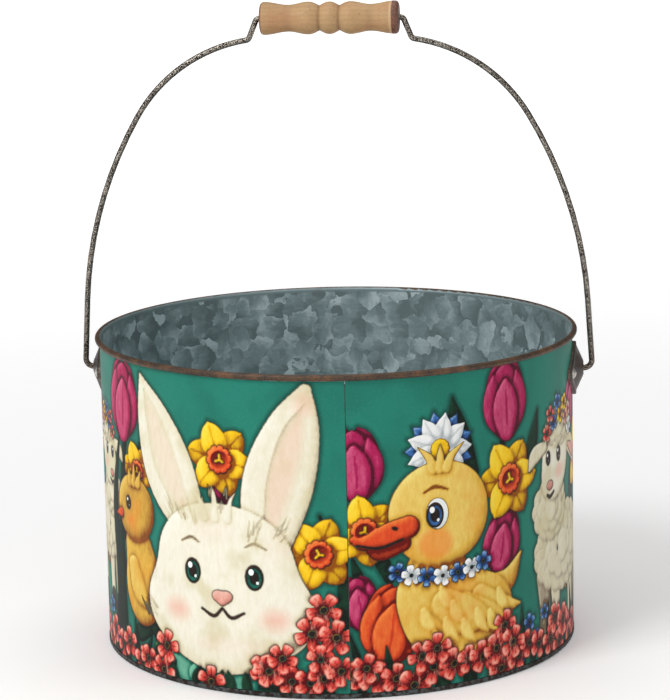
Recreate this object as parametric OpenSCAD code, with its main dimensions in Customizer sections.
// Round galvanised pail with a wired rim, a hemmed base, a two-panel paper wrap,
// riveted ears, a wire bail and a turned wooden grip.
// The origin is the centre of the foot ring, +Z is up, -Y is the front and the ears lie on X.

/* [Pail] */
// Outer diameter over the rolled rim
rim_d = 250; // [200:1:300]
// Height from the foot to the top of the rim
pail_h = 162; // [120:1:220]
// Thickness of the galvanised sheet
sheet_t = 0.5; // [0.4:0.05:0.8]
// Angle of the side seam, from the front towards the right ear
seam_angle = 8.4; // [0:0.1:40]
// Width of the lap where the wall sheet closes on itself
lap_w = 7; // [5:0.5:12]

/* [Rolled rim] */
// Diameter of the wire that the rim is rolled round
rim_wire_d = 2; // [1.6:0.1:3]
// How far the sheet is rolled round the wire, in degrees
rim_wrap = 262; // [230:1:270]
// Gap between the wire and the sheet rolled round it
rim_wire_clear = 0.05; // [0.02:0.01:0.1]
// Gap between the two cut ends of the rim wire
rim_wire_butt = 1; // [0.5:0.1:2]

/* [Base] */
// Height of the underside of the base panel above the foot
base_lift = 7; // [5:0.5:12]
// Height of the hem that folds up outside the wall
hem_h = 2.4; // [1.6:0.1:5]
// Inside radius of the bend between the base panel and its flange
base_bend_r = 1.5; // [1:0.1:3]
// Diameter of the stiffening ring pressed into the base panel
ring_d = 170; // [120:1:190]
// Width of the stiffening ring
ring_w = 9; // [6:0.5:14]
// Height of the stiffening ring
ring_h = 1.4; // [1:0.1:2]

/* [Paper wrap] */
// Thickness of the printed paper
paper_t = 0.2; // [0.1:0.05:0.4]
// Gap between the paper's lower edge and the hem
paper_hem_gap = 0.3; // [0.1:0.05:1]
// Gap between the paper's upper edge and the rolled rim
paper_rim_gap = 0.4; // [0.1:0.05:1]
// Gap between the two panels at each side seam
paper_seam_gap = 0.4; // [0.2:0.05:1]

/* [Ears] */
// Drop from the top of the rim to the bail pivot
pivot_drop = 21; // [21:1:50]
// Width of an ear, measured straight across
ear_w = 41; // [38:0.5:60]
// Height of an ear
ear_h = 28; // [27:0.5:34]
// Thickness of an ear's plate
ear_t = 2; // [1.5:0.1:2.4]
// Corner radius at an ear's two sides
ear_side_r = 4; // [3:0.1:6]
// Corner radius at an ear's top and bottom
ear_tip_r = 3.5; // [2:0.1:6]
// Radius of an ear's dome where it leaves the plate
dome_r = 11.8; // [11:0.1:12.5]
// Radius of the flat cap on the dome
cap_r = 3.6; // [3.2:0.1:5]
// Height of the cap above the wall
cap_rise = 5.7; // [5.5:0.1:8]
// Thickness of the cap that the bail turns in
cap_t = 1.5; // [1:0.1:2]

/* [Ear rivets] */
// Distance between an ear's two rivets, measured straight across
rivet_pitch = 31; // [30:0.5:34]
// Diameter of a rivet's shank
rivet_d = 3; // [2.4:0.1:3.2]
// Diameter of a rivet's head
rivet_head_d = 5.6; // [4.6:0.1:6]
// Height of a rivet's head
rivet_head_h = 1.5; // [1:0.1:2]
// Diameter of a rivet's closed tail inside the wall
rivet_tail_d = 5; // [4.2:0.1:6]
// Height of a rivet's closed tail
rivet_tail_h = 1; // [0.8:0.1:2]
// Gap between a rivet's shank and its holes
rivet_clear = 0.05; // [0.02:0.01:0.1]

/* [Bail] */
// Diameter of the bail wire
bail_d = 3; // [2.4:0.1:3.6]
// Gap between the bail wire and the hole in the ear's cap
bail_clear = 0.08; // [0.04:0.01:0.1]
// Diameter of the upset head that holds the wire in the ear
bail_head_d = 4.8; // [4.2:0.1:5.4]
// Thickness of the upset head
bail_head_t = 1.2; // [1:0.1:1.4]
// Play between the upset head and the inside of the cap
bail_head_gap = 0.3; // [0.2:0.05:0.4]
// Centreline radius of the bend outside each ear
ear_bend_r = 4; // [3.5:0.1:6]
// Straight wire between the cap and that bend
ear_bend_gap = 0.3; // [0.2:0.05:1]
// Inward lean of the straight legs, in degrees
leg_lean = 3.5; // [2:0.5:6]
// Length of the straight legs
leg_l = 31; // [20:1:50]
// Angle at which the long side curve passes into the shoulder curve
side_turn = 31; // [28:1:45]
// Height of the grip's axis above the pivot
bail_rise = 181.3; // [170:0.1:230]
// Drop from the grip's axis to the shoulders of the bail
shoulder_drop = 11; // [9:0.1:16]
// Slope of the wire where it meets the shoulder, in degrees
shoulder_lean = 9; // [0:0.5:12]
// Slope of the wire between shoulder and grip, in degrees
shoulder_slope = 68; // [50:1:75]
// Centreline radius of the two bends beside the grip
shoulder_bend_r = 2.5; // [2:0.1:4]

/* [Grip] */
// Length of the grip
grip_l = 71; // [64:0.5:110]
// Diameter of the bead in the middle of the grip
bead_d = 16.6; // [14:0.1:22]
// Diameter at the bottom of the two grooves
groove_d = 12.7; // [10:0.1:14]
// Distance of each groove from the middle
groove_x = 5.1; // [4:0.1:7]
// Diameter of the swelling beside each groove
swell_d = 16.7; // [14:0.1:22]
// Distance of the swelling from the middle
swell_x = 10.8; // [9:0.1:13]
// Diameter of the waist
waist_d = 13.7; // [11:0.1:18]
// Distance of the waist from the middle
waist_x = 21; // [18:0.1:25]
// Diameter of the flare at each end
flare_d = 16.9; // [14:0.1:22]
// Radius that rounds the rim of each end
end_round = 1.9; // [1:0.1:2.5]
// Gap between the wire and the grip's bore
grip_clear = 0.09; // [0.04:0.01:0.1]
// Play between the grip's end and the wire's bend
grip_end_gap = 0.4; // [0.3:0.1:1]

/* [Hidden] */
$fn = 96;
// Steps that one span of the turned grip's outline is drawn in
SPAN_STEPS = 8;
// Steps that one rounded corner of an ear is drawn in
CORNER_STEPS = 8;
// Overshoot of cutting shapes past the surfaces that they cut
OVER = 1;
// Depth that a shape reaches into the one that it is fused with
SINK = 0.2;
// Direction of the front
FRONT = -90;
// Sides of the bent wire, and the largest turn between two of its rings in degrees
WIRE_SIDES = 12;
WIRE_TURN = 7.5;
// How much slimmer the bent wire is than the round lengths that its ends are fused into
WIRE_SHY = 0.02;

// Rolled rim: the sheet's middle follows a circle round the wire, tangent to the wall.
curl_ir = rim_wire_d / 2 + rim_wire_clear;
curl_or = curl_ir + sheet_t;
curl_x = rim_d / 2 - curl_or;
curl_z = pail_h - curl_or;
wall_ir = curl_x - curl_or;
wall_or = wall_ir + sheet_t;

// Paper, between the hem and the rolled rim
paper_or = wall_or + paper_t;
paper_z0 = hem_h + paper_hem_gap;
paper_z1 = pail_h - 2 * curl_or - paper_rim_gap;
paper_gap_angle = 2 * asin(paper_seam_gap / 2 / wall_or);
lap_angle = 2 * asin(lap_w / 2 / wall_ir);

// Base: the lap in the wall stops above the flange of the base.
base_top = base_lift + sheet_t;
flange_ir = wall_ir - sheet_t;
ring_arc_r = (ring_w * ring_w / 4 + ring_h * ring_h) / (2 * ring_h);

// Ears
pivot_z = pail_h - pivot_drop;
ear_or = paper_or + ear_t;
cap_x = paper_or + cap_rise;
cap_in_x = cap_x - cap_t;
dome_x0 = sqrt(ear_or * ear_or - dome_r * dome_r) - SINK;
rivet_angle = asin(rivet_pitch / 2 / ear_or);
rivet_head_r = rivet_head_d / 2;
rivet_ball_r = (rivet_head_r * rivet_head_r + rivet_head_h * rivet_head_h) / (2 * rivet_head_h);

// Bail: one half runs from the head inside the ear to the middle of the grip.
bail_r = bail_d / 2;
head_x0 = cap_in_x - bail_head_gap - bail_head_t;
bend_x = cap_x + ear_bend_gap;
leg_x = bend_x + ear_bend_r * cos(leg_lean) - leg_l * sin(leg_lean);
leg_z = ear_bend_r * (1 + sin(leg_lean)) + leg_l * cos(leg_lean);
shoulder_rise = shoulder_drop - shoulder_bend_r * (1 + cos(shoulder_lean) - 2 * cos(shoulder_slope));
shoulder_l = shoulder_rise / sin(shoulder_slope);
grip_run = grip_l / 2 + grip_end_gap;
shoulder_run = shoulder_bend_r * (2 * sin(shoulder_slope) - sin(shoulder_lean));
shoulder_x = grip_run + shoulder_run + shoulder_l * cos(shoulder_slope);
shoulder_z = bail_rise - shoulder_drop;

// The side curve and the shoulder curve have the two radii that carry the wire from
// the top of the leg to the shoulder with no corner: two linear equations.
side_dz = sin(side_turn) - sin(leg_lean);
side_dx = cos(leg_lean) - cos(side_turn);
top_dz = cos(shoulder_lean) - sin(side_turn);
top_dx = cos(side_turn) - sin(shoulder_lean);
gap_x = leg_x - shoulder_x;
gap_z = shoulder_z - leg_z;
curve_det = side_dz * top_dx - side_dx * top_dz;
side_curve_r = (gap_z * top_dx - gap_x * top_dz) / curve_det;
top_curve_r = (side_dz * gap_x - side_dx * gap_z) / curve_det;

// One half of the bent wire, which leaves the ear along +X. Each step is a straight length,
// the radius of the bend that follows it, and that bend's angle, positive to the left.
BAIL_STEPS = [
    [SINK, ear_bend_r, 90 + leg_lean],
    [leg_l, side_curve_r, side_turn - leg_lean],
    [0, top_curve_r, 90 - shoulder_lean - side_turn],
    [0, shoulder_bend_r, shoulder_lean - shoulder_slope],
    [shoulder_l, shoulder_bend_r, shoulder_slope],
    [SINK, 0, 0]
];

// Centreline through one bend: [x, z, heading] at even turns, from where the bend starts
function bend_line(start, r, turn) = let (side = sign(turn), rings = ceil(abs(turn) / WIRE_TURN))
    [for (j = [1:rings]) let (h = start[2] + turn * j / rings) [
        start[0] + side * r * (sin(h) - sin(start[2])),
        start[1] - side * r * (cos(h) - cos(start[2])),
        h
    ]];

// Centreline through all steps from one point on
function wire_line(from, i = 0) = i == len(BAIL_STEPS) ? [] : let (
        step = BAIL_STEPS[i],
        corner = from + [step[0] * cos(from[2]), step[0] * sin(from[2]), 0],
        straight = step[0] > 0 ? [corner] : [],
        bend = step[2] == 0 ? [] : bend_line(corner, step[1], step[2]),
        line = concat(straight, bend))
    concat(line, wire_line(line[len(line) - 1], i + 1));

// Grip outline: [distance from the middle, radius]
GRIP_MARKS = [
    [0, bead_d / 2],
    [groove_x, groove_d / 2],
    [swell_x, swell_d / 2],
    [waist_x, waist_d / 2],
    [grip_l / 2 - end_round, flare_d / 2]
];

// Share of the way from one mark's radius to the next: quick at a groove, slow at a crest.
function ease(span, t) = span == 0 ? 1 - cos(90 * t)
    : span == 1 ? sin(90 * t)
    : (1 - cos(180 * t)) / 2;

function grip_point(span, t) = let (a = GRIP_MARKS[span], b = GRIP_MARKS[span + 1])
    [a[1] + (b[1] - a[1]) * ease(span, t), a[0] + (b[0] - a[0]) * t];

half_outline = concat(
    [for (span = [0:len(GRIP_MARKS) - 2], i = [0:SPAN_STEPS - 1]) grip_point(span, i / SPAN_STEPS)],
    [for (i = [0:SPAN_STEPS]) let (a = 90 * i / SPAN_STEPS)
        [flare_d / 2 - end_round * (1 - cos(a)), grip_l / 2 - end_round * (1 - sin(a))]]
);
mirrored_outline = [for (i = [len(half_outline) - 1:-1:1]) [half_outline[i][0], -half_outline[i][1]]];

// Direction in which the common outer tangent of two circles faces, the second circle
// being met next on an anticlockwise walk
function tangent_angle(a, b) = let (d = [b[0] - a[0], b[1] - a[1]])
    atan2(d[1], d[0]) - acos((a[2] - b[2]) / norm(d));

function on_circle(c, angle) = [c[0] + c[2] * cos(angle), c[1] + c[2] * sin(angle)];

// Corner circles of the ear's rounded diamond: [x, y, radius]
EAR_CORNERS = [
    [ear_w / 2 - ear_side_r, 0, ear_side_r],
    [0, ear_h / 2 - ear_tip_r, ear_tip_r],
    [ear_side_r - ear_w / 2, 0, ear_side_r],
    [0, ear_tip_r - ear_h / 2, ear_tip_r]
];

// Arc of one corner, from the side that reaches it to the side that leaves it
function corner_arc(i) = let (
        c = EAR_CORNERS[i],
        from_angle = tangent_angle(EAR_CORNERS[(i + 3) % 4], c),
        turn = (tangent_angle(c, EAR_CORNERS[(i + 1) % 4]) - from_angle + 720) % 360)
    [for (j = [0:CORNER_STEPS]) on_circle(c, from_angle + turn * j / CORNER_STEPS)];

module ear_outline() {
    polygon([for (i = [0:3]) each corner_arc(i)]);
}

// Round tube between two radii and two heights, through part of a turn
module shell(inner_r, outer_r, z0, z1, angle = 360) {
    rotate_extrude(angle = angle) translate([inner_r, z0]) square([outer_r - inner_r, z1 - z0]);
}

// Places its children at the pivot height on the ear's own side, with Z pointing outwards.
module at_ear(offset_angle = 0) {
    rotate([0, 0, offset_angle]) translate([0, 0, pivot_z]) rotate([0, 90, 0]) children();
}

module rivet_holes() {
    for (side = [0, 180], s = [-1, 1])
        at_ear(side + s * rivet_angle)
            translate([0, 0, wall_ir / 2]) cylinder(r = rivet_d / 2 + rivet_clear, h = rim_d / 2);
}

module pail_wall() color("slategray") {
    difference() {
        union() {
            shell(wall_ir, wall_or, sheet_t, curl_z);
            rotate_extrude() translate([curl_x, curl_z]) difference() {
                circle(curl_or);
                circle(curl_ir);
                polygon([[0, 0], [-2 * curl_or, 0], [-2 * curl_or, -2 * curl_or],
                         2 * curl_or * [cos(180 - rim_wrap), sin(180 - rim_wrap)]]);
            }
            rotate([0, 0, FRONT + seam_angle - lap_angle / 2])
                shell(flange_ir, wall_ir + sheet_t / 2, base_top + sheet_t, curl_z, lap_angle);
        }
        rivet_holes();
    }
}

module rim_wire() color("dimgray") {
    butt_angle = 2 * asin(rim_wire_butt / 2 / curl_x);
    rotate([0, 0, FRONT + seam_angle + butt_angle / 2])
        rotate_extrude(angle = 360 - butt_angle) translate([curl_x, curl_z]) circle(rim_wire_d / 2);
}

module base_pan() color("darkgray") {
    bend_or = base_bend_r + sheet_t;
    bend_x0 = wall_ir - bend_or;
    rotate_extrude() {
        // Panel, with the stiffening ring raised out of it
        difference() {
            union() {
                translate([0, base_lift]) square([bend_x0, sheet_t]);
                ring_section(ring_arc_r + sheet_t);
            }
            ring_section(ring_arc_r);
        }
        // Bend into the flange
        translate([bend_x0, base_top - bend_or]) intersection() {
            difference() {
                circle(bend_or);
                circle(base_bend_r);
            }
            square(bend_or);
        }
        // Flange, fold under the wall and hem outside it
        translate([flange_ir, sheet_t]) square([sheet_t, base_top - bend_or - sheet_t]);
        translate([wall_ir, 0]) square([sheet_t, sheet_t]);
        translate([wall_or, sheet_t]) square([sheet_t, hem_h - sheet_t]);
        fold_corner(wall_ir, -1);
        fold_corner(wall_or, 1);
    }
}

// Part of a disc that stands above the underside of the base panel, centred on the ring
module ring_section(r) {
    intersection() {
        translate([ring_d / 2, base_lift + ring_h - ring_arc_r]) circle(r);
        translate([ring_d / 2 - ring_w, base_lift]) square([2 * ring_w, 2 * ring_h + sheet_t]);
    }
}

// Rounded corner of the fold under the wall, on the side that the sign gives
module fold_corner(x, side) {
    translate([x, sheet_t]) intersection() {
        circle(sheet_t);
        translate([side < 0 ? -sheet_t : 0, -sheet_t]) square(sheet_t);
    }
}

// Half of the paper wrap, starting at the seam that the angle gives
module wrap_panel(from_angle) {
    difference() {
        rotate([0, 0, from_angle + paper_gap_angle / 2])
            shell(wall_or, paper_or, paper_z0, paper_z1, 180 - paper_gap_angle);
        rivet_holes();
    }
}

module wrap_panel_right() color("seagreen") wrap_panel(FRONT + seam_angle);

module wrap_panel_left() color("mediumseagreen") wrap_panel(FRONT + seam_angle + 180);

// Ear on the +X side: a diamond plate bent to the wall, with a hollow dome for the bail
module ear() {
    difference() {
        union() {
            intersection() {
                shell(paper_or, ear_or, pivot_z - ear_h, pivot_z + ear_h);
                translate([0, 0, pivot_z]) rotate([90, 0, 90]) linear_extrude(ear_or + OVER) ear_outline();
            }
            difference() {
                translate([dome_x0, 0, pivot_z]) rotate([0, 90, 0])
                    cylinder(r1 = dome_r, r2 = cap_r, h = cap_x - dome_x0);
                translate([0, 0, pivot_z - ear_h]) cylinder(r = paper_or + ear_t / 2, h = 2 * ear_h);
            }
        }
        translate([dome_x0 - cap_t, 0, pivot_z]) rotate([0, 90, 0])
            cylinder(r1 = dome_r - SINK, r2 = cap_r, h = cap_in_x - dome_x0 + cap_t);
        at_ear() cylinder(r = bail_r + bail_clear, h = cap_x + OVER);
        rivet_holes();
    }
}

module ear_right() color("saddlebrown") ear();

module ear_left() color("sienna") rotate([0, 0, 180]) ear();

// One rivet along +X: a domed head on the ear and a closed tail inside the wall
module rivet() {
    difference() {
        at_ear() intersection() {
            translate([0, 0, ear_or + rivet_head_h - rivet_ball_r]) sphere(rivet_ball_r);
            translate([0, 0, ear_or - SINK]) cylinder(r = rivet_head_r, h = 2 * rivet_head_h);
        }
        translate([0, 0, pivot_z - ear_h]) cylinder(r = ear_or, h = 2 * ear_h);
    }
    at_ear() translate([0, 0, wall_ir - rivet_tail_h / 2])
        cylinder(r = rivet_d / 2, h = ear_or - wall_ir + (rivet_tail_h + rivet_head_h) / 2);
    intersection() {
        at_ear() translate([0, 0, wall_ir - rivet_tail_h])
            cylinder(r = rivet_tail_d / 2, h = rivet_tail_h + SINK);
        translate([0, 0, pivot_z - ear_h]) cylinder(r = wall_ir, h = 2 * ear_h);
    }
}

module rivet_pair(side) {
    for (s = [-1, 1]) rotate([0, 0, side + s * rivet_angle]) rivet();
}

module ear_rivets_right() color("gainsboro") rivet_pair(0);

module ear_rivets_left() color("gainsboro") rivet_pair(180);

// Bent wire in the XZ plane along a centreline
module bent_wire(line) {
    r = bail_r - WIRE_SHY;
    n = WIRE_SIDES;
    points = [for (p = line, k = [0:n - 1]) let (a = 360 * k / n)
        [p[0] - r * cos(a) * sin(p[2]), -r * sin(a), p[1] + r * cos(a) * cos(p[2])]];
    skin = [for (j = [0:len(line) - 2], k = [0:n - 1])
        [j * n + k, (j + 1) * n + k, (j + 1) * n + (k + 1) % n, j * n + (k + 1) % n]];
    ends = [[for (k = [0:n - 1]) k], [for (k = [n - 1:-1:0]) (len(line) - 1) * n + k]];
    polyhedron(points, concat(skin, ends));
}

module bail() color("gray") {
    start = [bend_x - SINK, 0, 0];
    translate([0, 0, pivot_z]) for (side = [0, 1]) mirror([side, 0, 0]) {
        bent_wire(concat([start], wire_line(start)));
        rotate([0, 90, 0]) {
            translate([0, 0, head_x0]) cylinder(r = bail_r, h = bend_x - head_x0);
            translate([0, 0, head_x0]) cylinder(r = bail_head_d / 2, h = bail_head_t);
        }
    }
    translate([-grip_run, 0, pivot_z + bail_rise]) rotate([0, 90, 0]) cylinder(r = bail_r, h = 2 * grip_run);
}

module grip() color("burlywood") {
    translate([0, 0, pivot_z + bail_rise]) rotate([0, 90, 0]) difference() {
        rotate_extrude() polygon(concat([[0, -grip_l / 2]], mirrored_outline, half_outline,
                                        [[0, grip_l / 2]]));
        translate([0, 0, -grip_l / 2 - OVER]) cylinder(r = bail_r + grip_clear, h = grip_l + 2 * OVER);
    }
}

pail_wall();
rim_wire();
base_pan();
wrap_panel_left();
wrap_panel_right();
ear_left();
ear_right();
ear_rivets_left();
ear_rivets_right();
bail();
grip();
